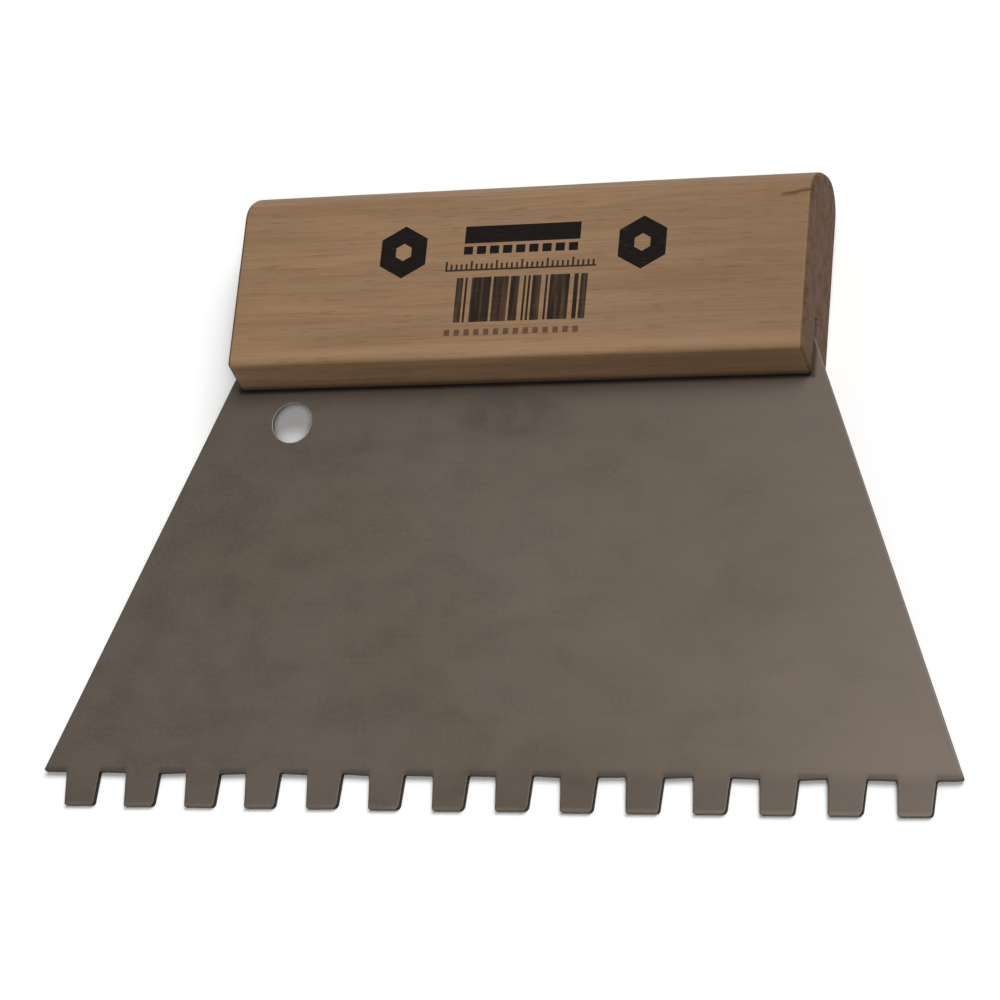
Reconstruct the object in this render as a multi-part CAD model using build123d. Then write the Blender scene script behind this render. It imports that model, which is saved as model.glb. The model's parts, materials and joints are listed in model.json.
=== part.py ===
from build123d import *
from math import asin, atan, atan2, degrees, hypot, radians, sqrt, tan
import os

# Notched trowel for spreading tile adhesive. A toothed sheet steel blade stands in a kerf sawn along
# the underside of a beech handle, and wire nails driven through the back of the handle hold it there.
# Lengths are in millimetres.
#
# Each piece is drawn in the tool's own axes: X along the handle, Y from the tooth tips (Y = 0) towards
# the handle, and Z out of the handle's front face, with the middle of the blade's thickness at Z = 0.
# Then the whole tool is laid on its back: the tooth tips and the handle's lower back edge touch Z = 0.

# Teeth: plain square notches with a little draft
tooth_count = 14
tooth_pitch = 12.0
notch_depth = 6.5
tooth_root_width = 6.7
tooth_tip_width = 5.9
tooth_tip_radius = 0.5
notch_corner_radius = 0.3

# Blade
blade_thickness = 1.0
blade_width = 172.2              # across its two corners, level with the bottom of the notches
blade_neck_width = 115.6         # where it goes into the handle
blade_reach = 80.2               # from the tooth tips to the handle
tang_height = 10.5               # the part hidden in the kerf
hang_hole_diameter = 8.0
hang_hole_x = -44.2
hang_hole_y = 73.8

# Handle
handle_length = 110.4
handle_thickness = 17.4
handle_height = 39.4
crown_radius = 13.6              # the curve across the top of the handle
crown_back_shift = 2.4           # how far the crown's centre lies behind the blade
front_shoulder_radius = 5.0
back_shoulder_radius = 5.8
underside_rise = 2.2             # how far the underside slopes up from the kerf to either face
handle_edge_radius = 0.4
kerf_depth = 11.0
kerf_front_gap = 0.8             # beside the blade, which the nails hold against the kerf's back wall
kerf_back_gap = 0.1

# Nails
nail_count = 3
nail_spacing = 36.0
nail_height = 5.6                # above the mouth of the kerf
nail_length = 14.0
nail_point_length = 2.4
nail_shank_radius = 0.8
nail_head_radius = 1.7
nail_head_thickness = 0.6
nail_head_sink = 0.2             # how far the head is driven below the handle's back face

handle_back = -handle_thickness / 2
handle_front = handle_thickness / 2
side_slope = (blade_width - blade_neck_width) / 2 / (blade_reach - notch_depth)
kerf_front = blade_thickness / 2 + kerf_front_gap
kerf_back = -blade_thickness / 2 - kerf_back_gap
underside_angle = degrees(atan(underside_rise / (kerf_back - handle_back)))


def tooth(centre_x):
    """Return one tooth's outline, reaching a little way up into the sheet."""
    overlap = 1.0
    root = tooth_root_width / 2
    tip = tooth_tip_width / 2
    with BuildSketch() as sketch:
        with BuildLine():
            Polyline((centre_x - root, notch_depth + overlap), (centre_x - root, notch_depth),
                     (centre_x - tip, 0), (centre_x + tip, 0),
                     (centre_x + root, notch_depth), (centre_x + root, notch_depth + overlap),
                     close=True)
        make_face()
        tip_corners = [v for v in sketch.vertices() if v.Y < notch_depth / 2]
        fillet(tip_corners, tooth_tip_radius)
    return sketch.sketch


def blade_outline():
    """Return the blade's face: a tapered sheet with the row of teeth along its wide edge."""
    tang_top = blade_reach + tang_height
    half_root = blade_width / 2
    half_top = blade_neck_width / 2 - side_slope * tang_height
    middle_tooth = (tooth_count - 1) / 2
    with BuildSketch() as sketch:
        with BuildLine():
            Polyline((-half_root, notch_depth), (half_root, notch_depth),
                     (half_top, tang_top), (-half_top, tang_top), close=True)
        make_face()
        for number in range(tooth_count):
            add(tooth((number - middle_tooth) * tooth_pitch))
        outermost = middle_tooth * tooth_pitch + tooth_root_width / 2
        inner_corners = [v for v in sketch.vertices()
                         if abs(v.Y - notch_depth) < 0.01 and abs(v.X) < outermost + 0.01]
        fillet(inner_corners, notch_corner_radius)
        with Locations((hang_hole_x, hang_hole_y)):
            Circle(hang_hole_diameter / 2, mode=Mode.SUBTRACT)
    return sketch.sketch


def nail():
    """Return one nail pointing along +Z, with the top of its head at Z = 0."""
    shank_end = nail_length - nail_point_length
    with BuildPart() as part:
        with BuildSketch(Plane.XZ):
            with BuildLine():
                Polyline((0, 0), (nail_head_radius, 0), (nail_head_radius, nail_head_thickness),
                         (nail_shank_radius, nail_head_thickness), (nail_shank_radius, shank_end),
                         (0, nail_length), close=True)
            make_face()
        revolve(axis=Axis.Z)
    return part.part


def make_nails():
    """Return the nails side by side, driven in through the back of the handle."""
    middle_nail = (nail_count - 1) / 2
    height = blade_reach + nail_height
    depth = handle_back + nail_head_sink
    return [Pos((number - middle_nail) * nail_spacing, height, depth) * nail()
            for number in range(nail_count)]


def nail_sinkings():
    """Return the short round pits that the nail heads sit in."""
    middle_nail = (nail_count - 1) / 2
    height = blade_reach + nail_height
    pit = Cylinder(nail_head_radius, 2 * nail_head_sink)
    return [Pos((number - middle_nail) * nail_spacing, height, handle_back) * pit
            for number in range(nail_count)]


def make_blade(nails):
    """Return the sheet steel blade, punched for the nails."""
    sheet = extrude(blade_outline(), blade_thickness / 2, both=True)
    for each in nails:
        sheet = sheet - each
    return sheet


def crown_end(face_z):
    """Return the Y at which the crown's curve would meet one of the handle's faces."""
    centre_y = blade_reach + handle_height - crown_radius
    return centre_y + sqrt(crown_radius ** 2 - (face_z + crown_back_shift) ** 2)


def handle_section():
    """Return the handle's section: a low crown over two rounded shoulders, and a pointed underside.

    It is drawn for the YZ plane, so its first number is Y and its second is Z.
    """
    front_top = crown_end(handle_front)
    back_top = crown_end(handle_back)
    face_bottom = blade_reach + underside_rise
    with BuildSketch() as sketch:
        with BuildLine():
            Polyline((back_top, handle_back), (face_bottom, handle_back),
                     (blade_reach, kerf_back), (blade_reach, kerf_front),
                     (face_bottom, handle_front), (front_top, handle_front))
            RadiusArc((front_top, handle_front), (back_top, handle_back), crown_radius)
        make_face()
        shoulders = [v for v in sketch.vertices() if v.X > front_top - 0.01]
        fillet([v for v in shoulders if v.Y > 0], front_shoulder_radius)
        fillet([v for v in shoulders if v.Y < 0], back_shoulder_radius)
    return sketch.sketch


def make_handle(nails):
    """Return the handle: a bar of one section, with a kerf sawn from end to end."""
    face_bottom = blade_reach + underside_rise
    with BuildPart() as part:
        with BuildSketch(Plane.YZ):
            add(handle_section())
        extrude(amount=handle_length / 2, both=True)
        end_edges = [e for e in part.edges() if abs(abs(e.center().X) - handle_length / 2) < 0.01]
        lower_edges = [e for e in part.edges().filter_by(Axis.X)
                       if abs(e.center().Y - face_bottom) < 0.01]
        fillet(end_edges + lower_edges, handle_edge_radius)
        with Locations((0, blade_reach, (kerf_front + kerf_back) / 2)):
            Box(2 * handle_length, 2 * kerf_depth, kerf_front - kerf_back, mode=Mode.SUBTRACT)
    bar = part.part
    for each in nails + nail_sinkings():
        bar = bar - each
    return bar


def rest_tilt():
    """Return the angle in degrees at which the tool lies on its back.

    The surface passes through the tooth tips' back edge and touches the round of the handle's lower
    back edge.
    """
    corner_angle = radians(90 + underside_angle)
    round_y = blade_reach + underside_rise + handle_edge_radius / tan(corner_angle / 2)
    round_z = handle_back + handle_edge_radius
    down = -blade_thickness / 2 - round_z
    return degrees(atan2(down, round_y) + asin(handle_edge_radius / hypot(round_y, down)))


def lay_down(nodes):
    """Return each node's shape tipped onto the back, centred over the origin and standing on Z = 0."""
    tipped = {name: Rot(X=rest_tilt()) * shape for name, shape in nodes.items()}
    box = Compound(list(tipped.values())).bounding_box()
    middle = box.center()
    return {name: Pos(-middle.X, -middle.Y, -box.min.Z) * shape for name, shape in tipped.items()}


nails = make_nails()
nodes = {
    "blade": make_blade(nails),
    "handle": make_handle(nails),
    "blade_nails": Compound(nails),
}
nodes = lay_down(nodes)

os.makedirs("parts", exist_ok=True)
for name, shape in nodes.items():
    export_step(shape, f"parts/{name}.step")
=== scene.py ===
"""Notched trowel: the looks of its beech handle, toothed steel blade and nails, round the CAD frame."""
import json
from math import atan, atan2, ceil, cos, pi, radians, sin, sqrt, tan
import random

import bpy
import numpy as np
from mathutils import Matrix, Vector, noise
from mathutils.geometry import delaunay_2d_cdt


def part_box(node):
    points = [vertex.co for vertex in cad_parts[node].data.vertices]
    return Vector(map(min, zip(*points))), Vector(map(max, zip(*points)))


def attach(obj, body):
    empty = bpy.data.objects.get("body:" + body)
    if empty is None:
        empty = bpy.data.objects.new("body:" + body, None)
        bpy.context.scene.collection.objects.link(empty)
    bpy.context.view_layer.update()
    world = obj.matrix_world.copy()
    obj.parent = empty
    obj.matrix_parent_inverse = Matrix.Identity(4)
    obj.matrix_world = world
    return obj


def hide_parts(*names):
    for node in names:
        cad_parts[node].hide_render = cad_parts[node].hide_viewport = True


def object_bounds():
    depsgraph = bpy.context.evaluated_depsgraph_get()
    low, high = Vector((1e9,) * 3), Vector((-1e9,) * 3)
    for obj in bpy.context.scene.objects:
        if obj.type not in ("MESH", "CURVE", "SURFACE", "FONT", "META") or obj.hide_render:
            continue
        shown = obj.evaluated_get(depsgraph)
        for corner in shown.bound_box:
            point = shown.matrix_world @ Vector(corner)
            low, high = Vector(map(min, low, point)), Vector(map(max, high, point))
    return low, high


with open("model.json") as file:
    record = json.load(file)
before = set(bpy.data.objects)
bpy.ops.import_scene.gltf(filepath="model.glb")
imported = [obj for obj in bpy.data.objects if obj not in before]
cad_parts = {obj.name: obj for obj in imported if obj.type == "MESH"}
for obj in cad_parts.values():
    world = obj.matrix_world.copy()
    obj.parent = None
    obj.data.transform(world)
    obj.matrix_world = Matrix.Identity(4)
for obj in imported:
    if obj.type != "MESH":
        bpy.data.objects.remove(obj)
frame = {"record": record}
cad_low, cad_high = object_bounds()
record = frame["record"]

# ---------------------------------------------------------------------------------------------------
# Sizes, in millimetres, in the tool's own axes: X along the handle, Y from the tooth tips towards the
# handle, and Z out of the printed face, with Z = 0 in the middle of the blade's thickness.
# ---------------------------------------------------------------------------------------------------
MM = 0.001

tooth_count = 14
tooth_pitch = 12.0
notch_depth = 6.5
tooth_root_half = 3.35
tooth_tip_half = 2.95
blade_half_width = 86.1
blade_neck_half = 57.8
blade_reach = 80.2
tang_height = 10.5
half_sheet = 0.5
hang_hole_radius = 4.0

handle_half_length = 55.2
handle_half_thickness = 8.7
handle_height = 39.4
crown_radius = 13.6
crown_back_shift = 2.4
front_shoulder_radius = 5.0
back_shoulder_radius = 5.8
underside_rise = 2.2
front_end_round = 0.8
back_end_round = 0.35
long_edge_round = 0.9
kerf_front = 1.3
kerf_back = -0.6
kerf_depth = 11.0
kerf_corner_width = 0.2
kerf_corner_height = 0.15

nail_spacing = 36.0
nail_height = 5.6
nail_length = 14.0
nail_point_length = 2.4
nail_shank_radius = 0.8
nail_head_radius = 1.7
nail_sink = 0.2

mounts = {mount["name"]: mount for mount in record["mounts"]}
blade_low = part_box("blade")[0]
face_normal = Vector(mounts["hang_hole"]["axis"]).normalized()
up_the_blade = face_normal.cross(Vector((1, 0, 0)))
tool_origin = Vector((0, blade_low.y - half_sheet * MM * face_normal.y, half_sheet * MM * face_normal.z))
tilt = atan2(up_the_blade.z, up_the_blade.y)
tool_to_row = Matrix.Translation(tool_origin) @ Matrix.Rotation(tilt, 4, "X") @ Matrix.Scale(MM, 4)
hole_in_tool = tool_to_row.inverted() @ Vector(mounts["hang_hole"]["pos_m"])


# ---------------------------------------------------------------------------------------------------
# Mesh helpers
# ---------------------------------------------------------------------------------------------------
def smooth_step(low, high, value):
    """Return 0 below low, 1 above high, and a smooth rise between them."""
    share = min(1.0, max(0.0, (value - low) / (high - low)))
    return share * share * (3 - 2 * share)


def make_piece(name, points, faces, materials, face_slots=None, sharp_angle=35):
    """Make a mesh object in the row frame from points in tool millimetres."""
    mesh = bpy.data.meshes.new(name)
    mesh.from_pydata([tool_to_row @ Vector(p) for p in points], [], faces)
    for material in materials:
        mesh.materials.append(material)
    if face_slots is not None:
        mesh.polygons.foreach_set("material_index", face_slots)
    mesh.validate()
    mesh.shade_smooth()
    mesh.set_sharp_from_angle(angle=radians(sharp_angle))
    piece = bpy.data.objects.new(name, mesh)
    bpy.context.scene.collection.objects.link(piece)
    return piece


def inset(loop, distance):
    """Move each point of a closed counter-clockwise loop inwards by a distance."""
    points = np.asarray(loop, float)
    along = np.roll(points, -1, 0) - points
    along /= np.linalg.norm(along, axis=1)[:, None]
    normals = np.stack([-along[:, 1], along[:, 0]], 1)
    joint = normals + np.roll(normals, 1, 0)
    joint /= np.linalg.norm(joint, axis=1)[:, None]
    mitre = np.clip((joint * normals).sum(1), 0.45, 1)
    return points + joint * (np.asarray(distance) / mitre)[:, None]


corner_segments = 6


def rounded_loop(corners, step):
    """Return the points of a closed polygon whose corners, given as (x, y, radius), are rounded."""
    result = []
    count = len(corners)
    for index, (x, y, radius) in enumerate(corners):
        before = np.array(corners[index - 1][:2]) - (x, y)
        after = np.array(corners[(index + 1) % count][:2]) - (x, y)
        before /= np.linalg.norm(before)
        after /= np.linalg.norm(after)
        half = np.arccos(np.clip(before @ after, -1, 1)) / 2
        setback = radius / tan(half)
        start = np.array((x, y)) + before * setback
        end = np.array((x, y)) + after * setback
        middle = np.array((x, y)) + (before + after) / np.linalg.norm(before + after) * radius / sin(half)
        for number in range(corner_segments + 1):
            share = number / corner_segments
            arm = (start - middle) * (1 - share) + (end - middle) * share
            result.append(middle + arm / np.linalg.norm(arm) * radius)
    finished = []
    for here, there in zip(result, result[1:] + result[:1]):
        pieces = max(1, ceil(np.linalg.norm(there - here) / step))
        finished += [here + (there - here) * number / pieces for number in range(pieces)]
    return np.array(finished)


def inside(points, loop):
    """Tell which points lie inside a closed loop."""
    x, y = points[:, 0:1], points[:, 1:2]
    x0, y0 = loop[:, 0], loop[:, 1]
    x1, y1 = np.roll(x0, -1), np.roll(y0, -1)
    crosses = (y0 > y) != (y1 > y)
    with np.errstate(divide="ignore", invalid="ignore"):
        where = x0 + (y - y0) / (y1 - y0) * (x1 - x0)
    return (crosses & (x < where)).sum(1) % 2 == 1


def fill_face(outer, holes, spacing):
    """Triangulate a flat region, with an even grid of points inside it.

    Returns the extra inner points and the triangles. Triangles count the outer loop's points first,
    then each hole's, then the inner points.
    """
    loops = [np.asarray(outer)] + [np.asarray(hole) for hole in holes]
    rims = np.concatenate(loops)
    low, high = rims.min(0), rims.max(0)
    xs = np.arange(low[0] + spacing / 2, high[0], spacing)
    ys = np.arange(low[1] + spacing / 2, high[1], spacing)
    grid = np.stack(np.meshgrid(xs, ys), -1).reshape(-1, 2)
    grid = grid[inside(grid, loops[0])]
    for hole in loops[1:]:
        grid = grid[~inside(grid, hole)]
    gaps = np.sqrt(((grid[:, None] - rims[None]) ** 2).sum(-1)).min(1)
    grid = grid[gaps > spacing * 0.45]
    edges = []
    first = 0
    for loop in loops:
        count = len(loop)
        edges += [(first + number, first + (number + 1) % count) for number in range(count)]
        first += count
    every = [Vector(p) for p in np.concatenate([rims, grid])]
    _, _, triangles, came_from, _, _ = delaunay_2d_cdt(every, edges, [], 0, 1e-7)
    triangles = np.array([[came_from[corner][0] for corner in triangle] for triangle in triangles])
    flat = np.concatenate([rims, grid])
    centres = flat[triangles].mean(1)
    keep = inside(centres, loops[0])
    for hole in loops[1:]:
        keep &= ~inside(centres, hole)
    return grid, triangles[keep]


def bridge(first_row, second_row, count):
    """Return quads between two closed rows of points, given each row's first index."""
    return [(first_row + number, first_row + (number + 1) % count,
             second_row + (number + 1) % count, second_row + number) for number in range(count)]


# ---------------------------------------------------------------------------------------------------
# Blade: punched sheet, its front edges rolled over and its back edges left with a fine burr
# ---------------------------------------------------------------------------------------------------
tooth_wander = 0.10              # how unevenly the punch has cut the teeth
root_wander = 0.22
tip_wander = 0.12
root_corner = 0.32
side_corner = 0.36
tang_corner = 0.4
outline_step = 2.0               # the longest stretch between two points of the outline
sheet_roll = 0.08                # how far the punch has rolled over the front edges
hole_roll = 0.06
tooth_side_roll = 0.14           # added on the right-hand sides of the teeth
back_edge = 0.03
burr = 0.015
front_strip = 0.16               # the flat strips that keep the faces' shading level beside the edges
back_strip = 0.15
cut_rows = range(1, 9)           # the strips of an edge that are cut steel, from its roll to its burr


def tooth_corners(number, chance):
    """Return one tooth's corners from its left root to its right root, a little uneven as punched."""
    middle = (number - (tooth_count - 1) / 2) * tooth_pitch
    left = middle + chance.uniform(-tooth_wander, tooth_wander)
    right = middle + chance.uniform(-tooth_wander, tooth_wander)
    tip = chance.uniform(0, tip_wander)
    return [(left - tooth_root_half, notch_depth + chance.uniform(-root_wander, root_wander), root_corner),
            (left - tooth_tip_half, tip, chance.uniform(0.33, 0.5)),
            (right + tooth_tip_half, tip + chance.uniform(0, tip_wander), chance.uniform(0.6, 1.1)),
            (right + tooth_root_half, notch_depth + chance.uniform(-root_wander, root_wander), root_corner)]


def blade_loop():
    """Return the sheet's outline, counter-clockwise from its lower left corner."""
    chance = random.Random(11)
    slope = (blade_half_width - blade_neck_half) / (blade_reach - notch_depth)
    top_half = blade_neck_half - slope * tang_height
    corners = [(-blade_half_width, notch_depth, side_corner)]
    for number in range(tooth_count):
        corners += tooth_corners(number, chance)
    corners += [(blade_half_width, notch_depth, side_corner),
                (top_half, blade_reach + tang_height, tang_corner),
                (-top_half, blade_reach + tang_height, tang_corner)]
    return rounded_loop(corners, outline_step)


def sheet_wave(x, y):
    """Return how far the sheet stands off its plane: hardly visible, but it shapes the sheen.

    The sheet is level at its tooth tips, which the tool rests on, and in the handle.
    """
    free = smooth_step(0, 14, y) * (1 - smooth_step(blade_reach - 12, blade_reach - 1, y))
    broad = noise.noise(Vector((x / 46, y / 38, 3.1)))
    small = noise.noise(Vector((x / 15, y / 13, 7.7)))
    return free * (0.10 * broad + 0.012 * small)


def add_rim(loop, points, faces, slots, front_roll):
    """Add one closed edge of the sheet: its front round, its cut wall and its back edge.

    Returns the flat loops left for the front and the back faces, and their first indices.
    """
    count = len(loop)
    roll = np.array([front_roll * (1 + 0.25 * noise.noise(Vector((p[0] / 3, p[1] / 3, 1)))) for p in loop])
    rightwards = (loop - inset(loop, np.ones(count)))[:, 0]
    roll += [tooth_side_roll * smooth_step(0.5, 0.9, facing) * smooth_step(notch_depth, notch_depth - 0.8, y)
             for facing, y in zip(rightwards, loop[:, 1])]
    rows = [(inset(loop, roll + front_strip), np.full(count, half_sheet))]
    for turn in (0, 22.5, 45, 67.5, 90):
        away = roll * (1 - sin(radians(turn)))
        drop = roll * (1 - cos(radians(turn)))
        rows.append((inset(loop, away), half_sheet - drop))
    for away, height in ((0.0, 0.0), (-burr, -half_sheet + 2 * back_edge), (0.0, -half_sheet),
                         (back_edge, -half_sheet), (back_strip, -half_sheet)):
        rows.append((inset(loop, np.full(count, away)), np.full(count, height)))
    firsts = []
    for flat, heights in rows:
        firsts.append(len(points))
        points += [(p[0], p[1], z) for p, z in zip(flat, heights)]
    for row, (above, below) in enumerate(zip(firsts, firsts[1:])):
        quads = bridge(above, below, count)
        faces += [quad[::-1] for quad in quads]
        slots += [1 if row in cut_rows else 0] * count
    return rows[0][0], firsts[0], rows[-1][0], firsts[-1]


def build_blade(steel, cut_steel):
    """Build the whole sheet, from the tooth tips to the tang in the kerf."""
    outline = blade_loop()
    turns = np.linspace(0, 2 * pi, 64, endpoint=False)
    hole = np.stack([hole_in_tool.x + hang_hole_radius * np.cos(turns),
                     hole_in_tool.y - hang_hole_radius * np.sin(turns)], 1)
    points, faces, slots = [], [], []
    sheet_front, front_first, sheet_back, back_first = add_rim(outline, points, faces, slots, sheet_roll)
    hole_front, hole_first, hole_back, hole_back_first = add_rim(hole, points, faces, slots, hole_roll)
    for outer, outer_first, inner, inner_first, height, flip in (
            (sheet_front, front_first, hole_front, hole_first, half_sheet, False),
            (sheet_back, back_first, hole_back, hole_back_first, -half_sheet, True)):
        grid, triangles = fill_face(outer, [inner], 2.6)
        start = len(points)
        points += [(x, y, height) for x, y in grid]
        number = np.concatenate([outer_first + np.arange(len(outer)), inner_first + np.arange(len(inner)),
                                 start + np.arange(len(grid))])
        for triangle in number[triangles].tolist():
            faces.append(tuple(triangle[::-1] if flip else triangle))
            slots.append(0)
    points = [(x, y, z + sheet_wave(x, y)) for x, y, z in points]
    blade = make_piece("blade_sheet", points, faces, [steel, cut_steel], slots)
    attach(blade, "root")
    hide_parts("blade")
    return blade


# ---------------------------------------------------------------------------------------------------
# Handle: a beech bar with a low crown, a saw kerf and one small split in its front shoulder
# ---------------------------------------------------------------------------------------------------
shoulder_start = (blade_reach + handle_height - crown_radius + sqrt(
    (crown_radius - front_shoulder_radius) ** 2
    - (handle_half_thickness - front_shoulder_radius + crown_back_shift) ** 2))
split_start = 48.6               # where the split begins along the handle
split_arc = -0.25                # how far above the start of the front shoulder it lies there
split_rise = 0.12                # how steeply it climbs towards the right-hand end
split_sway = 0.1
split_sway_rate = 1.2
split_depth = 0.22
split_half_width = 0.2
split_zone = radians(24)         # the part of the front shoulder that has closer points for it


def section_arcs():
    """Return the arcs round the section, each as (centre y, centre z, radius, from, to, steps).

    An arc's two turns are the directions it faces at its ends: 0 is out of the front face, a quarter turn
    is up the handle and a half turn is out of the back face.
    """
    half = handle_half_thickness
    crown_y = blade_reach + handle_height - crown_radius
    crown_z = -crown_back_shift
    arcs = []
    for side, radius in ((1, front_shoulder_radius), (-1, back_shoulder_radius)):
        shoulder_z = side * (half - radius)
        shoulder_y = crown_y + sqrt((crown_radius - radius) ** 2 - (shoulder_z - crown_z) ** 2)
        turn = atan2(shoulder_y - crown_y, shoulder_z - crown_z)
        mouth = kerf_front if side > 0 else -kerf_back
        slope = atan(underside_rise / (half - mouth))
        edge_z = half - long_edge_round
        edge_y = blade_reach + (edge_z - mouth) * tan(slope) + long_edge_round / cos(slope)
        arcs.append((turn, shoulder_y, shoulder_z, radius, edge_y, side * edge_z, slope))
    front, back = arcs
    return [(front[4], front[5], long_edge_round, front[6] - pi / 2, 0, 6),
            (front[1], front[2], front[3], 0, split_zone, 30),
            (front[1], front[2], front[3], split_zone, front[0], 6),
            (crown_y, crown_z, crown_radius, front[0], back[0], 30),
            (back[1], back[2], back[3], back[0], pi, 20),
            (back[4], back[5], long_edge_round, pi, 3 * pi / 2 - back[6], 6)]


def straight_row(first, last, steps):
    """Return evenly spaced section points strictly between two others, facing as the first does."""
    spots = []
    for number in range(1, steps):
        share = number / steps
        spots.append((first[0] + (last[0] - first[0]) * share, first[1] + (last[1] - first[1]) * share,
                      first[2], first[3], None))
    return spots


def handle_section():
    """Return the section as a closed row of points, from the kerf's front lip over the top to its back lip.

    Each point is (y, z, normal y, normal z, arc), where arc is the way along the front shoulder's curve, or
    None anywhere else. The last points go round the inside of the kerf.
    """
    rows = []
    for index, (centre_y, centre_z, radius, turn_from, turn_to, steps) in enumerate(section_arcs()):
        on_front_shoulder = index in (1, 2)
        arc_row = []
        for number in range(steps + 1):
            turn = turn_from + (turn_to - turn_from) * number / steps
            arc_row.append((centre_y + radius * sin(turn), centre_z + radius * cos(turn),
                            sin(turn), cos(turn), radius * turn if on_front_shoulder else None))
        rows.append(arc_row)
    lips = []
    for row, mouth in ((rows[0][0], kerf_front), (rows[-1][-1], kerf_back)):
        lips.append((row[0] - (mouth - row[1]) * row[3] / row[2], mouth, row[2], row[3], None))
    section = [lips[0]] + straight_row(lips[0], rows[0][0], 7) + rows[0]
    section += straight_row(rows[0][-1], rows[1][0], 19) + rows[1]
    section += rows[2][1:] + rows[3][1:] + rows[4][1:]
    section += straight_row(rows[4][-1], rows[5][0], 19) + rows[5]
    section += straight_row(rows[5][-1], lips[1], 7) + [lips[1]]
    kerf_top = blade_reach + kerf_depth
    kerf_height = kerf_top - kerf_corner_height - lips[1][0]
    kerf_rise = [lips[1][0] + kerf_height * number / 5 for number in range(1, 6)]
    section += [(y, kerf_back, 0, 0, None) for y in kerf_rise]
    section += [(kerf_top, kerf_back + kerf_corner_width, 0, 0, None),
                (kerf_top, kerf_front - kerf_corner_width, 0, 0, None)]
    section += [(y, kerf_front, 0, 0, None) for y in reversed(kerf_rise)]
    return section


def split_offset(x, arc):
    """Return how far the surface sinks at the split, a fine crack that runs in from the right-hand end."""
    line = split_arc + split_rise * (x - split_start) + split_sway * sin(split_sway_rate * x)
    depth = split_depth * smooth_step(split_start, split_start + 3.0, x)
    return -depth * np.exp(-((arc - line) / split_half_width) ** 2)


def handle_stations():
    """Return (side, x, turn) for each section along the handle, closer together where the split is.

    Side is -1 or 1 for the sections that round an end, with how far they have turned, and 0 between them.
    """
    turns = [radians(number * 11.25) for number in range(9)]
    straight = handle_half_length - front_end_round
    plain = np.arange(-straight + 1.5, split_start - 1, 1.5)
    close = np.arange(split_start - 0.6, straight - 0.1, 0.2)
    left = [(-1, 0, turn) for turn in reversed(turns)]
    right = [(1, 0, turn) for turn in turns]
    return left + [(0, x, 0) for x in np.concatenate([plain, close])] + right


def station_points(side, x, turn):
    """Return the points of one section, drawn in and moved along where it rounds an end."""
    points = []
    for y, z, normal_y, normal_z, arc in handle_section():
        end_round = back_end_round + (front_end_round - back_end_round) * smooth_step(-4, 2, z)
        shrink = end_round * (1 - cos(turn))
        if side:
            x = side * (handle_half_length - end_round * (1 - sin(turn)))
        broad = noise.noise(Vector((x / 31, y / 14, z / 9 + 5)))
        small = noise.noise(Vector((x / 9, y / 3.1, z / 3.1)))
        off = 0.07 * broad + 0.02 * small - 0.03 - shrink
        if arc is not None:
            off += split_offset(x, arc)
        points.append((x, y + normal_y * off, z + normal_z * off))
    return points


def build_handle(beech, pit_cutter):
    """Build the handle as one skin from end to end, close its ends and sink the nail pits."""
    stations = handle_stations()
    points, faces = [], []
    count = len(handle_section())
    for station in stations:
        points += station_points(*station)
    for number in range(len(stations) - 1):
        faces += bridge(number * count, (number + 1) * count, count)
    for first, flip in ((0, True), ((len(stations) - 1) * count, False)):
        rim = [(points[first + number][1], points[first + number][2]) for number in range(count)]
        grid, triangles = fill_face(rim, [], 1.3)
        start = len(points)
        x = points[first][0]
        points += [(x + 0.02 * noise.noise(Vector((x, y / 1.4, z / 1.4))), y, z) for y, z in grid]
        number = np.concatenate([first + np.arange(count), start + np.arange(len(grid))])
        for triangle in number[triangles].tolist():
            faces.append(tuple(triangle if flip else triangle[::-1]))
    handle = make_piece("handle_bar", points, faces, [beech])
    cut = handle.modifiers.new("pits", "BOOLEAN")
    cut.operation = "DIFFERENCE"
    cut.solver = "EXACT"
    cut.object = pit_cutter
    evaluated = handle.evaluated_get(bpy.context.evaluated_depsgraph_get())
    finished = bpy.data.meshes.new_from_object(evaluated)
    handle.modifiers.clear()
    handle.data = finished
    bpy.data.objects.remove(pit_cutter)
    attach(handle, "root")
    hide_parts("handle")
    return handle


# ---------------------------------------------------------------------------------------------------
# Nails
# ---------------------------------------------------------------------------------------------------
def turned(profile, segments, centre_x, centre_y, base_z):
    """Return the points and faces of a shape turned about Z from (radius, z) points.

    The profile's first and last points lie on the axis.
    """
    points = [(centre_x, centre_y, base_z + profile[0][1])]
    for radius, z in profile[1:-1]:
        for number in range(segments):
            turn = 2 * pi * number / segments
            points.append((centre_x + radius * cos(turn), centre_y + radius * sin(turn), base_z + z))
    points.append((centre_x, centre_y, base_z + profile[-1][1]))
    last = len(points) - 1
    rings = len(profile) - 2
    faces = [(0, 1 + (number + 1) % segments, 1 + number) for number in range(segments)]
    for ring in range(rings - 1):
        faces += [quad[::-1] for quad in
                  bridge(1 + ring * segments, 1 + (ring + 1) * segments, segments)]
    first = 1 + (rings - 1) * segments
    faces += [(last, first + number, first + (number + 1) % segments) for number in range(segments)]
    return points, faces


def nail_places():
    """Return the (x, y) place of each nail's axis."""
    return [(number * nail_spacing, blade_reach + nail_height) for number in (-1, 0, 1)]


def build_pit_cutter():
    """Build the three short discs that cut the pits the nail heads sit in."""
    points, faces = [], []
    wide = nail_head_radius + 0.04
    floor = nail_sink + 0.06
    profile = [(0, -1.0), (wide, -1.0), (wide, floor - 0.04), (wide - 0.06, floor), (0, floor)]
    for x, y in nail_places():
        more, around = turned(profile, 40, x, y, -handle_half_thickness)
        faces += [tuple(corner + len(points) for corner in face) for face in around]
        points += more
    return make_piece("pit_cutter", points, faces, [])


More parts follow.
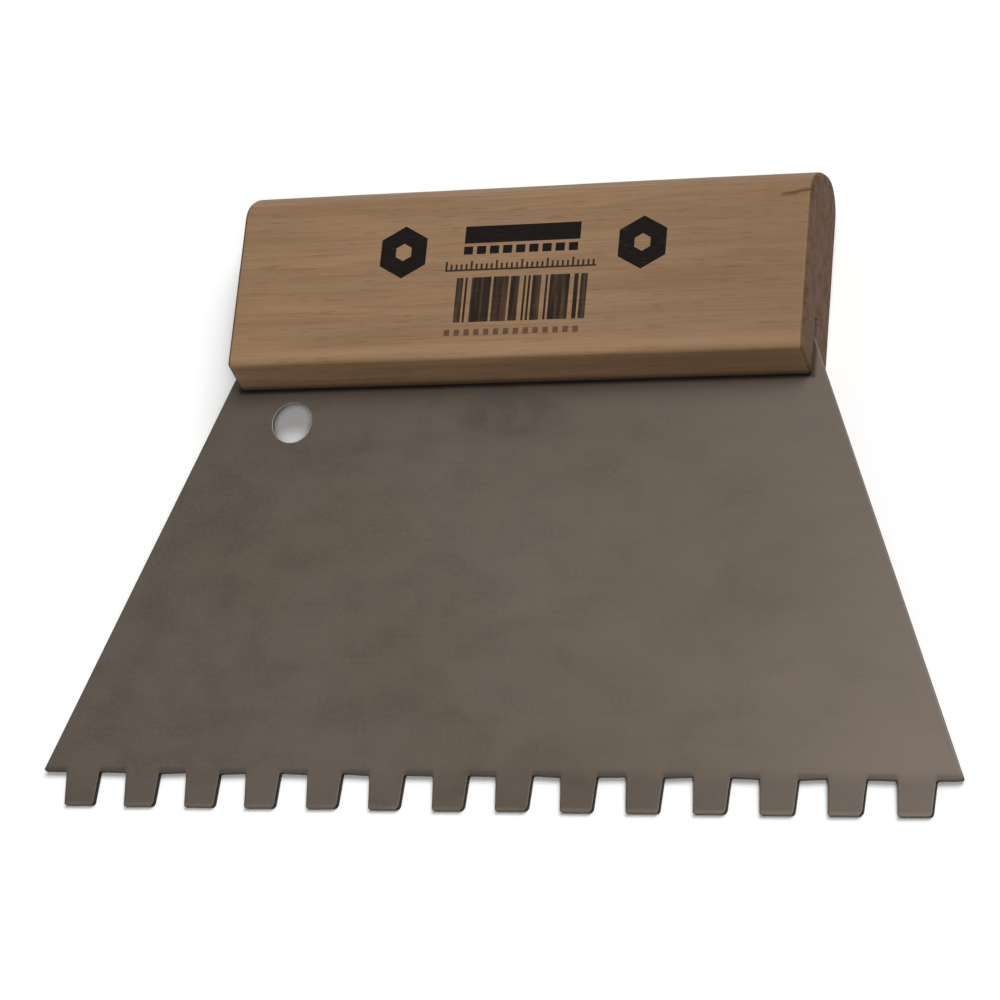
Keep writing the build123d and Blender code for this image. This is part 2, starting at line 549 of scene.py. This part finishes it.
def build_nails(nail_steel):
    """Build the three nails, heads towards the back of the handle."""
    points, faces = [], []
    shank = nail_shank_radius
    profile = [(0, -0.05), (0.9, -0.035), (1.45, 0.01), (1.62, 0.07), (nail_head_radius, 0.17),
               (nail_head_radius, 0.42), (1.55, 0.52), (0.95, 0.66), (shank, 0.85)]
    profile += [(shank, 0.85 + number * 0.3) for number in range(1, 8)]
    profile += [(shank, nail_length - nail_point_length), (0.5, nail_length - nail_point_length / 2),
                (0.12, nail_length - 0.1), (0, nail_length)]
    for x, y in nail_places():
        more, around = turned(profile, 40, x, y, -handle_half_thickness + nail_sink)
        faces += [tuple(corner + len(points) for corner in face) for face in around]
        points += more
    nails = make_piece("wire_nails", points, faces, [nail_steel])
    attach(nails, "root")
    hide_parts("blade_nails")
    return nails


# ---------------------------------------------------------------------------------------------------
# Node helpers
# ---------------------------------------------------------------------------------------------------
def new_material(name):
    """Return a new material's node tree and its Principled shader."""
    material = bpy.data.materials.new(name)
    material.use_nodes = True
    tree = material.node_tree
    return material, tree, tree.nodes["Principled BSDF"]


def node(tree, kind, values=None, **settings):
    """Add a node, set its properties, and set or link its inputs."""
    made = tree.nodes.new(kind)
    for key, value in settings.items():
        setattr(made, key, value)
    for key, value in (values or {}).items():
        if isinstance(value, bpy.types.NodeSocket):
            tree.links.new(value, made.inputs[key])
        else:
            made.inputs[key].default_value = value
    return made


def maths(tree, operation, *values):
    """Return the output of a Math node."""
    made = node(tree, "ShaderNodeMath", dict(enumerate(values)), operation=operation)
    return made.outputs[0]


def times(tree, first, second):
    """Return the product of two values."""
    return maths(tree, "MULTIPLY", first, second)


def plus(tree, first, second):
    """Return the sum of two values."""
    return maths(tree, "ADD", first, second)


def minus(tree, first, second):
    """Return the first value less the second."""
    return maths(tree, "SUBTRACT", first, second)


def larger(tree, first, second):
    """Return the larger of two values."""
    return maths(tree, "MAXIMUM", first, second)


def gap(tree, first, second):
    """Return how far apart two values are."""
    return maths(tree, "ABSOLUTE", minus(tree, first, second))


def hypotenuse(tree, first, second):
    """Return the distance that two values at right angles span."""
    return maths(tree, "SQRT", plus(tree, times(tree, first, first), times(tree, second, second)))


def ramp_between(tree, value, low, high, to_low=0.0, to_high=1.0):
    """Return value mapped smoothly from low..high to to_low..to_high."""
    made = node(tree, "ShaderNodeMapRange",
                {"Value": value, "From Min": low, "From Max": high, "To Min": to_low, "To Max": to_high},
                interpolation_type="SMOOTHSTEP")
    return made.outputs["Result"]


def tint(tree, factor, first, second, blend="MIX"):
    """Return the output of a colour Mix node."""
    made = tree.nodes.new("ShaderNodeMix")
    made.data_type = "RGBA"
    made.blend_type = blend
    for socket, value in zip((made.inputs[0], made.inputs[6], made.inputs[7]), (factor, first, second)):
        if isinstance(value, bpy.types.NodeSocket):
            tree.links.new(value, socket)
        else:
            socket.default_value = value
    return made.outputs[2]


def scaled(tree, vector, scales, shift=(0, 0, 0)):
    """Return a vector multiplied by scales, then moved by shift."""
    made = node(tree, "ShaderNodeVectorMath", {0: vector, 1: scales, 2: shift}, operation="MULTIPLY_ADD")
    return made.outputs[0]


def cloud(tree, vector, scales, detail=3.0, roughness=0.5, distortion=0.0, shift=(0, 0, 0)):
    """Return noise from 0 to 1 in a stretched space."""
    made = node(tree, "ShaderNodeTexNoise",
                {"Vector": scaled(tree, vector, scales, shift), "Scale": 1.0, "Detail": detail,
                 "Roughness": roughness, "Distortion": distortion})
    return made.outputs["Fac"]


def tool_position(tree):
    """Return the shading point in tool millimetres, as a vector and as its three parts."""
    place = node(tree, "ShaderNodeTexCoord").outputs["Object"]
    offset = node(tree, "ShaderNodeVectorMath", {0: place, 1: tuple(tool_origin)}, operation="SUBTRACT")
    turned_back = node(tree, "ShaderNodeVectorRotate",
                       {"Vector": offset.outputs[0], "Axis": (1, 0, 0), "Angle": -tilt},
                       rotation_type="AXIS_ANGLE")
    grown = node(tree, "ShaderNodeVectorMath", {0: turned_back.outputs[0], "Scale": 1 / MM},
                 operation="SCALE")
    vector = grown.outputs[0]
    parts = node(tree, "ShaderNodeSeparateXYZ", {0: vector}).outputs
    return vector, parts[0], parts[1], parts[2]


# ---------------------------------------------------------------------------------------------------
# Materials
# ---------------------------------------------------------------------------------------------------
def steel_material():
    """Dull cold-rolled sheet: brownish grey and almost even, with faint rolling lines, a few stains and
    painted light and shade.
    """
    dull_brown = (0.187, 0.154, 0.122, 1)
    pale_brown = (0.215, 0.175, 0.145, 1)
    patch_brown = (0.168, 0.137, 0.110, 1)
    line_brown = (0.150, 0.120, 0.094, 1)
    speck_brown = (0.115, 0.092, 0.074, 1)
    painted_sheen_brown = (0.270, 0.222, 0.186, 1)
    handle_shade_brown = (0.110, 0.088, 0.074, 1)
    tooth_shade_brown = (0.110, 0.086, 0.074, 1)
    root_shade_grey = (0.075, 0.057, 0.058, 1)
    tip_grey = (0.300, 0.250, 0.200, 1)
    kerf_shade_black = (0.030, 0.023, 0.018, 1)
    stain_grey = (0.085, 0.070, 0.068, 1)
    stain_centre = (-1.0, 74.0)
    stain_half = (11.0, 5.0)

    material, tree, shader = new_material("cold_rolled_steel")
    place, x, y, _ = tool_position(tree)
    blotch = cloud(tree, place, (0.022, 0.03, 0.02), 3, 0.5, 0.4)
    patch = cloud(tree, place, (0.10, 0.14, 0.1), 4, 0.55, 0.3, (9, 3, 1))
    rolling = cloud(tree, place, (0.06, 1.5, 1), 3, 0.6)
    speck = cloud(tree, place, (1.3, 1.6, 2), 4, 0.65)
    colour = tint(tree, ramp_between(tree, blotch, 0.3, 0.7), dull_brown, pale_brown)
    colour = tint(tree, ramp_between(tree, patch, 0.35, 0.75, 0, 0.22), colour, patch_brown)
    colour = tint(tree, ramp_between(tree, rolling, 0.5, 0.75, 0, 0.16), colour, line_brown)
    colour = tint(tree, ramp_between(tree, speck, 0.6, 0.8, 0, 0.25), colour, speck_brown)
    # Painted reflection: the sheet is made lighter towards its lower right, where its sheen falls.
    slant = minus(tree, x, times(tree, y, 0.9))
    colour = tint(tree, ramp_between(tree, slant, 10, 80, 0, 0.4), colour, painted_sheen_brown)
    # Painted shade: the sheet is made darker towards the handle, where the handle shades it.
    handle_shade = ramp_between(tree, y, blade_reach - 30, blade_reach + 4, 0, 0.28)
    colour = tint(tree, handle_shade, colour, handle_shade_brown)
    # Painted shade: the teeth are made darker from left to right.
    teeth_shade = times(tree, ramp_between(tree, y, notch_depth + 2.5, notch_depth - 1.5),
                     ramp_between(tree, x, -40, 20, 0.0, 0.32))
    colour = tint(tree, teeth_shade, colour, tooth_shade_brown)

    phase = maths(tree, "FRACT", plus(tree, maths(tree, "DIVIDE", x, tooth_pitch), 0.5))
    over_notch = ramp_between(tree, gap(tree, phase, 0.5), 0.26, 0.19)
    root_shade = times(tree, over_notch, ramp_between(tree, y, notch_depth + 1.3, notch_depth + 0.3))
    colour = tint(tree, times(tree, root_shade, 0.45), colour, root_shade_grey)
    worn_tip = ramp_between(tree, y, 1.0, 0.5, 0, 0.35)
    colour = tint(tree, worn_tip, colour, tip_grey)
    # Painted shadow: the sheet is made dark where it goes into the kerf, under the handle.
    under_handle = ramp_between(tree, maths(tree, "ABSOLUTE", x),
                                handle_half_length + 0.9, handle_half_length + 0.1)
    blade_kerf_shade = times(tree, ramp_between(tree, y, blade_reach - 0.9, blade_reach - 0.1, 0, 0.7), under_handle)
    colour = tint(tree, blade_kerf_shade, colour, kerf_shade_black)
    stain_x = maths(tree, "DIVIDE", minus(tree, x, stain_centre[0]), stain_half[0])
    stain_y = maths(tree, "DIVIDE", minus(tree, y, stain_centre[1]), stain_half[1])
    stain = times(tree, ramp_between(tree, hypotenuse(tree, stain_x, stain_y), 1.3, 0.2),
                  ramp_between(tree, patch, 0.3, 0.6))
    colour = tint(tree, times(tree, stain, 0.7), colour, stain_grey)
    tree.links.new(colour, shader.inputs["Base Color"])

    shader.inputs["Metallic"].default_value = 1.0
    rough = plus(tree, ramp_between(tree, patch, 0.3, 0.7, 0.46, 0.54),
                 ramp_between(tree, speck, 0.4, 0.7, 0.0, 0.05))
    tree.links.new(rough, shader.inputs["Roughness"])
    relief = plus(tree, times(tree, rolling, 0.5), times(tree, speck, 0.5))
    bump = node(tree, "ShaderNodeBump", {"Height": relief, "Strength": 0.2, "Distance": 0.00005})
    tree.links.new(bump.outputs[0], shader.inputs["Normal"])
    return material


def cut_steel_material():
    """The cut edges: a smooth band where the punch went in, then a darker torn one with fine tears, and
    painted shade and light.
    """
    smooth_dark = (0.120, 0.098, 0.080, 1)
    smooth_pale = (0.190, 0.156, 0.130, 1)
    root_shade_grey = (0.055, 0.042, 0.040, 1)
    torn_black = (0.030, 0.024, 0.021, 1)
    side_shade_black = (0.018, 0.014, 0.012, 1)
    hole_light_grey = (0.430, 0.395, 0.365, 1)

    material, tree, shader = new_material("sheared_steel")
    place, x, y, z = tool_position(tree)
    tear = cloud(tree, place, (4, 4, 0.4), 3, 0.6)
    ragged = plus(tree, z, times(tree, tear, 0.3))
    torn = times(tree, ramp_between(tree, ragged, 0.22, 0.05),
                 ramp_between(tree, y, notch_depth + 2.5, notch_depth + 1.5, 0.25, 1.0))
    colour = tint(tree, ramp_between(tree, tear, 0.3, 0.7), smooth_dark, smooth_pale)
    # Painted shade: the cut walls at the notch roots, which face down towards the floor, are made darker.
    at_roots = times(tree, ramp_between(tree, y, notch_depth - 1.0, notch_depth - 0.4),
                     ramp_between(tree, y, notch_depth + 1.5, notch_depth + 0.8))
    colour = tint(tree, times(tree, at_roots, 0.65), colour, root_shade_grey)
    colour = tint(tree, times(tree, torn, 0.75), colour, torn_black)
    # Painted shade: the cut walls on the right-hand sides of the teeth are made almost black.
    normal = node(tree, "ShaderNodeNewGeometry").outputs["Normal"]
    rightwards = node(tree, "ShaderNodeSeparateXYZ", {0: normal}).outputs[0]
    right_side_shade = times(tree, ramp_between(tree, rightwards, 0.15, 0.5),
                       ramp_between(tree, y, notch_depth + 1.0, notch_depth))
    colour = tint(tree, times(tree, right_side_shade, 0.9), colour, side_shade_black)
    # Painted light: the wall of the hanging hole is made much lighter, against the shade it lies in.
    from_hole = plus(tree, gap(tree, x, hole_in_tool.x), gap(tree, y, hole_in_tool.y))
    in_hole = ramp_between(tree, from_hole, 2 * hang_hole_radius, 1.7 * hang_hole_radius)
    colour = tint(tree, in_hole, colour, hole_light_grey)
    tree.links.new(colour, shader.inputs["Base Color"])
    shader.inputs["Metallic"].default_value = 1.0
    shader.inputs["Roughness"].default_value = 0.6
    bump = node(tree, "ShaderNodeBump", {"Height": tear, "Strength": 0.5, "Distance": 0.00005})
    tree.links.new(bump.outputs[0], shader.inputs["Normal"])
    return material


def nail_material():
    """Bright drawn wire, its heads cross-hatched by the nail machine."""
    dark_wire = (0.30, 0.28, 0.26, 1)
    bright_wire = (0.55, 0.53, 0.50, 1)
    hatch_pitch = 0.45

    material, tree, shader = new_material("drawn_wire")
    place, x, y, z = tool_position(tree)
    grey = cloud(tree, place, (1.5, 1.5, 1.5), 4, 0.6)
    tree.links.new(tint(tree, grey, dark_wire, bright_wire), shader.inputs["Base Color"])
    shader.inputs["Metallic"].default_value = 1.0
    tree.links.new(ramp_between(tree, grey, 0.3, 0.7, 0.3, 0.5), shader.inputs["Roughness"])
    hatch_x = maths(tree, "SINE", times(tree, x, 2 * pi / hatch_pitch))
    hatch_y = maths(tree, "SINE", times(tree, y, 2 * pi / hatch_pitch))
    on_head = maths(tree, "LESS_THAN", z, -handle_half_thickness + nail_sink + 0.2)
    hatch = times(tree, larger(tree, hatch_x, hatch_y), on_head)
    bump = node(tree, "ShaderNodeBump", {"Height": hatch, "Strength": 0.6, "Distance": 0.00006})
    tree.links.new(bump.outputs[0], shader.inputs["Normal"])
    return material


def box_mask(tree, x, y, centre, half):
    """Return 1 inside a rectangle on the printed face and 0 outside it."""
    return times(tree, maths(tree, "LESS_THAN", gap(tree, x, centre[0]), half[0]),
                 maths(tree, "LESS_THAN", gap(tree, y, centre[1]), half[1]))


def hexagon_mask(tree, x, y, centre, inner, outer):
    """Return 1 between two hexagons round a centre, given from the centre to a side, and 0 elsewhere."""
    aside = gap(tree, x, centre[0])
    above = gap(tree, y, centre[1])
    slanted = plus(tree, times(tree, aside, cos(pi / 3)), times(tree, above, sin(pi / 3)))
    far = larger(tree, aside, slanted)
    return times(tree, maths(tree, "LESS_THAN", far, outer), maths(tree, "GREATER_THAN", far, inner))


def row_mask(tree, x, y, centre, half, pitch, share):
    """Return 1 on a row of evenly spaced blocks inside a rectangle, each covering a share of the pitch."""
    from_left = plus(tree, minus(tree, x, centre[0] - half[0]), 100 * pitch)
    phase = maths(tree, "FRACT", maths(tree, "DIVIDE", from_left, pitch))
    return times(tree, box_mask(tree, x, y, centre, half), maths(tree, "LESS_THAN", phase, share))


def ink_mask(tree, place, x, y, z):
    """Return how strongly each point is inked.

    The print is two hexagons, a bar over blocks, a scale, plain bars and a row of dots. Places are
    measured along the handle and above its lower edge.
    """
    hexagons = ((-22.1, 23.6), (24.1, 23.6))
    blocks_pitch, blocks_share = 2.54, 0.7
    scale_tick, scale_tick_share = 0.98, 0.42
    scale_long_tick, scale_long_share = 4.9, 0.084
    scale_strength = 0.9
    bar_width = 0.42
    bar_share = 0.76
    dots_pitch, dots_share, dots_strength = 1.9, 0.55, 0.62

    above = minus(tree, y, blade_reach)
    marks = box_mask(tree, x, above, (1.0, 26.5), (11.2, 1.7))
    for centre in hexagons:
        marks = larger(tree, marks, hexagon_mask(tree, x, above, centre, 1.5, 4.5))
    blocks = row_mask(tree, x, above, (1.0, 23.4), (11.2, 0.8), blocks_pitch, blocks_share)
    marks = larger(tree, marks, blocks)
    scale = box_mask(tree, x, above, (1.1, 19.5), (14.6, 0.17))
    ticks = row_mask(tree, x, above, (1.1, 20.1), (14.6, 0.6), scale_tick, scale_tick_share)
    long_ticks = row_mask(tree, x, above, (1.1, 20.4), (14.6, 0.9), scale_long_tick, scale_long_share)
    scale = larger(tree, larger(tree, scale, ticks), long_ticks)
    marks = larger(tree, marks, times(tree, scale, scale_strength))
    module = maths(tree, "FLOOR", maths(tree, "DIVIDE", plus(tree, x, 100.0), bar_width))
    dice = node(tree, "ShaderNodeTexWhiteNoise", {"W": module}, noise_dimensions="1D").outputs["Value"]
    bars = times(tree, box_mask(tree, x, above, (1.7, 13.6), (12.7, 4.4)),
                 maths(tree, "LESS_THAN", dice, bar_share))
    thin = cloud(tree, place, (0.9, 0.05, 0), 2, 0.5)
    marks = larger(tree, marks, times(tree, bars, ramp_between(tree, thin, 0.3, 0.6, 0.76, 0.96)))
    dots = row_mask(tree, x, above, (0.7, 7.2), (13.2, 0.6), dots_pitch, dots_share)
    marks = larger(tree, marks, times(tree, dots, dots_strength))
    worn = cloud(tree, place, (0.5, 3.4, 1), 4, 0.7)
    cover = ramp_between(tree, worn, 0.22, 0.42, 0.72, 0.99)
    on_front = maths(tree, "GREATER_THAN", z, handle_half_thickness - 0.35)
    return times(tree, times(tree, marks, cover), on_front)


def fleck_mask(tree, place, length, width, turn, share):
    """Return short dark dashes along the grain, like the cut ends of beech's wide rays."""
    stretched = scaled(tree, place, (1 / length, 1 / width, 1 / width), (turn, turn * 3, turn * 7))
    cells = node(tree, "ShaderNodeTexVoronoi", {"Vector": stretched, "Scale": 1.0, "Randomness": 1.0})
    dice = node(tree, "ShaderNodeSeparateColor", {0: cells.outputs["Color"]}).outputs[0]
    return times(tree, ramp_between(tree, cells.outputs["Distance"], 0.42, 0.12),
                 ramp_between(tree, dice, 1 - share, 1.0))


def late_wood(tree, place, y, z):
    """Return how far each point lies in the darker late wood of a year's ring."""
    pith_height = blade_reach + 4
    pith_depth = 62.0
    ring_width = 3.1
    bend = cloud(tree, place, (0.012, 0.02, 0.02), 2, 0.5)
    waver = cloud(tree, place, (0.05, 0.25, 0.25), 3, 0.6, 0, (4, 1, 8))
    reach = hypotenuse(tree, minus(tree, y, pith_height), plus(tree, z, pith_depth))
    reach = plus(tree, reach, times(tree, bend, 9.0))
    reach = plus(tree, reach, times(tree, waver, 2.2))
    ring = maths(tree, "FRACT", maths(tree, "DIVIDE", reach, ring_width))
    return times(tree, ramp_between(tree, ring, 0.35, 0.9), ramp_between(tree, ring, 0.9, 1.0, 1.0, 0.0))


def split_mask(tree, x, y, z):
    """Return 1 along the small split in the front shoulder and 0 elsewhere."""
    straight = plus(tree, times(tree, x, split_rise), shoulder_start + split_arc - split_rise * split_start)
    sway = times(tree, maths(tree, "SINE", times(tree, x, split_sway_rate)), split_sway)
    from_split = gap(tree, y, plus(tree, straight, sway))
    split = times(tree, ramp_between(tree, from_split, 0.6, 0.12),
                  ramp_between(tree, x, split_start + 0.1, split_start + 1.5))
    return times(tree, split, maths(tree, "GREATER_THAN", z, 4.0))


def end_wood_colour(tree, place, late):
    """Return the colour of the handle's sawn ends: dull brown with greyer patches and open pores."""
    dark_end = (0.068, 0.036, 0.018, 1)
    light_end = (0.135, 0.074, 0.039, 1)
    grey_end = (0.120, 0.078, 0.062, 1)
    late_end = (0.085, 0.048, 0.028, 1)
    pore_end = (0.060, 0.034, 0.020, 1)
    mottle = cloud(tree, place, (0.5, 0.5, 0.35), 4, 0.65)
    broad = cloud(tree, place, (0.22, 0.22, 0.35), 2, 0.5, 0, (5, 8, 2))
    dots = cloud(tree, place, (1, 3.2, 3.2), 4, 0.75)
    colour = tint(tree, ramp_between(tree, mottle, 0.3, 0.7), dark_end, light_end)
    colour = tint(tree, ramp_between(tree, broad, 0.42, 0.66, 0, 0.6), colour, grey_end)
    colour = tint(tree, times(tree, late, 0.35), colour, late_end)
    return tint(tree, ramp_between(tree, dots, 0.5, 0.72, 0, 0.6), colour, pore_end)


def kerf_colour(tree, y):
    """Return the colour of the kerf's walls: painted shade at the mouth, lighter further in, and painted
    light at the far end.
    """
    kerf_mouth_shade = (0.045, 0.025, 0.014, 1)
    kerf_wall_brown = (0.080, 0.046, 0.026, 1)
    kerf_end_light = (0.150, 0.090, 0.054, 1)
    colour = tint(tree, ramp_between(tree, y, blade_reach + 1.5, blade_reach + 4.0), kerf_mouth_shade, kerf_wall_brown)
    kerf_end = ramp_between(tree, y, blade_reach + tang_height - 0.3, blade_reach + tang_height + 0.2)
    return tint(tree, kerf_end, colour, kerf_end_light)


def kerf_mask(tree, y, z):
    """Return 1 on the walls of the kerf and 0 elsewhere."""
    margin = 0.03
    between = times(tree, maths(tree, "LESS_THAN", z, kerf_front + margin),
                    maths(tree, "GREATER_THAN", z, kerf_back - margin))
    return times(tree, between, maths(tree, "LESS_THAN", y, blade_reach + kerf_depth + margin))


def beech_material():
    """Sanded beech: fine streaks and short dark flecks along the bar, and rough, darker sawn ends, with
    painted shade.
    """
    streak_dark = (0.232, 0.138, 0.070, 1)
    streak_pale = (0.290, 0.178, 0.096, 1)
    late_brown = (0.195, 0.110, 0.052, 1)
    grain_dark = (0.185, 0.104, 0.050, 1)
    grain_pale = (0.345, 0.220, 0.122, 1)
    line_brown = (0.150, 0.080, 0.038, 1)
    pore_brown = (0.150, 0.082, 0.040, 1)
    right_brown = (0.180, 0.103, 0.050, 1)
    fleck_brown = (0.125, 0.064, 0.026, 1)
    edge_pale = (0.385, 0.240, 0.130, 1)
    split_shade_brown = (0.092, 0.043, 0.015, 1)
    lip_shade_black = (0.026, 0.015, 0.009, 1)
    ink_black = (0.006, 0.005, 0.005, 1)

    material, tree, shader = new_material("beech")
    place, x, y, z = tool_position(tree)
    late = late_wood(tree, place, y, z)
    streak = cloud(tree, place, (0.014, 0.34, 0.34), 4, 0.6, 0.2)
    grain = cloud(tree, place, (0.045, 1.5, 1.5), 4, 0.65)
    lines = cloud(tree, place, (0.07, 3.2, 3.2), 3, 0.6, 0, (2, 6, 3))
    pores = cloud(tree, place, (0.25, 6.0, 6.0), 3, 0.7)
    fleck = larger(tree, fleck_mask(tree, place, 4.0, 0.5, 0.0, 0.6),
                   fleck_mask(tree, place, 7.0, 0.75, 3.0, 0.4))
    colour = tint(tree, ramp_between(tree, streak, 0.3, 0.7), streak_dark, streak_pale)
    colour = tint(tree, times(tree, late, 0.30), colour, late_brown)
    colour = tint(tree, ramp_between(tree, grain, 0.42, 0.75, 0, 0.55), colour, grain_dark)
    colour = tint(tree, ramp_between(tree, grain, 0.42, 0.20, 0, 0.40), colour, grain_pale)
    colour = tint(tree, ramp_between(tree, lines, 0.55, 0.75, 0, 0.55), colour, line_brown)
    colour = tint(tree, ramp_between(tree, pores, 0.55, 0.8, 0, 0.4), colour, pore_brown)
    colour = tint(tree, ramp_between(tree, x, 0, 55, 0, 0.42), colour, right_brown)
    colour = tint(tree, times(tree, fleck, 0.38), colour, fleck_brown)
    from_edge = gap(tree, y, blade_reach + underside_rise + 1.9)
    edge_band = times(tree, ramp_between(tree, from_edge, 1.6, 0.4), maths(tree, "GREATER_THAN", z, 7.5))
    colour = tint(tree, times(tree, edge_band, 0.3), colour, edge_pale)
    # Painted shade along the groove of the split.
    colour = tint(tree, times(tree, split_mask(tree, x, y, z), 0.7), colour, split_shade_brown)

    normal = node(tree, "ShaderNodeNewGeometry").outputs["Normal"]
    across = node(tree, "ShaderNodeSeparateXYZ", {0: normal}).outputs[0]
    end = ramp_between(tree, maths(tree, "ABSOLUTE", across), 0.08, 0.62)
    colour = tint(tree, times(tree, end, 0.95), colour, end_wood_colour(tree, place, late))
    colour = tint(tree, kerf_mask(tree, y, z), colour, kerf_colour(tree, y))
    # Painted shadow: the wood is made almost black right at the kerf's mouth, along the underside.
    lip_shade = ramp_between(tree, y, blade_reach + 0.5, blade_reach + 0.05, 0, 0.8)
    colour = tint(tree, lip_shade, colour, lip_shade_black)
    ink = ink_mask(tree, place, x, y, z)
    colour = tint(tree, ink, colour, ink_black)
    tree.links.new(colour, shader.inputs["Base Color"])

    rough = plus(tree, ramp_between(tree, grain, 0.3, 0.7, 0.56, 0.68), times(tree, end, 0.12))
    tree.links.new(rough, shader.inputs["Roughness"])
    dull = larger(tree, ink, end)
    tree.links.new(ramp_between(tree, dull, 0.0, 1.0, 0.30, 0.08), shader.inputs["Specular IOR Level"])
    relief = minus(tree, times(tree, grain, 0.6), times(tree, pores, 0.5))
    relief = minus(tree, relief, times(tree, fleck, 0.4))
    bump = node(tree, "ShaderNodeBump", {"Height": relief, "Strength": 0.5, "Distance": 0.00008})
    tree.links.new(bump.outputs[0], shader.inputs["Normal"])
    return material


# ---------------------------------------------------------------------------------------------------
# Stage: floor, light and camera
# ---------------------------------------------------------------------------------------------------
def build_floor():
    """Lay a large pale floor under the tool."""
    reach = 60.0
    corners = [(-reach, -reach, 0), (reach, -reach, 0), (reach, reach, 0), (-reach, reach, 0)]
    mesh = bpy.data.meshes.new("floor")
    mesh.from_pydata(corners, [], [(0, 1, 2, 3)])
    material, _, shader = new_material("pale_floor")
    shader.inputs["Base Color"].default_value = (0.92, 0.92, 0.92, 1)
    shader.inputs["Roughness"].default_value = 0.9
    shader.inputs["Specular IOR Level"].default_value = 0.1
    mesh.materials.append(material)
    floor = bpy.data.objects.new("floor", mesh)
    bpy.context.scene.collection.objects.link(floor)


def light_from(name, direction, strength, soft_degrees):
    """Add a soft light that shines from a direction."""
    data = bpy.data.lights.new(name, "SUN")
    data.energy = strength
    data.angle = radians(soft_degrees)
    lamp = bpy.data.objects.new(name, data)
    lamp.rotation_euler = Vector(direction).to_track_quat("Z", "Y").to_euler()
    bpy.context.scene.collection.objects.link(lamp)


def set_world(strength):
    """Surround the tool with an even, slightly warm grey."""
    world = bpy.data.worlds.new("studio")
    world.use_nodes = True
    back = world.node_tree.nodes["Background"]
    back.inputs["Color"].default_value = (1.0, 0.985, 0.965, 1)
    back.inputs["Strength"].default_value = strength
    bpy.context.scene.world = world


def place_camera():
    """Look steeply down at the printed face, from the teeth's side and the right."""
    azimuth, elevation, roll = 40.14, 59.13, -36.93
    distance = 0.6158
    aim = (cad_low + cad_high) / 2 + Vector((-0.0007, -0.0032, -0.0012))
    data = bpy.data.cameras.new("camera")
    data.sensor_width = 36.0
    data.lens = 122.8
    camera = bpy.data.objects.new("camera", data)
    turn = (Matrix.Rotation(radians(azimuth), 4, "Z") @ Matrix.Rotation(radians(90 - elevation), 4, "X")
            @ Matrix.Rotation(radians(roll), 4, "Z"))
    camera.matrix_world = Matrix.Translation(aim) @ turn @ Matrix.Translation((0, 0, distance))
    bpy.context.scene.collection.objects.link(camera)
    bpy.context.scene.camera = camera


place_camera()
set_world(0.16)
light_from("key", (0.35, 0.34, 0.88), 2.5, 36)
light_from("fill", (0.39, -0.40, 0.83), 1.0, 12)
build_floor()
build_blade(steel_material(), cut_steel_material())
build_handle(beech_material(), build_pit_cutter())
build_nails(nail_material())
bpy.context.scene.view_settings.view_transform = "Standard"
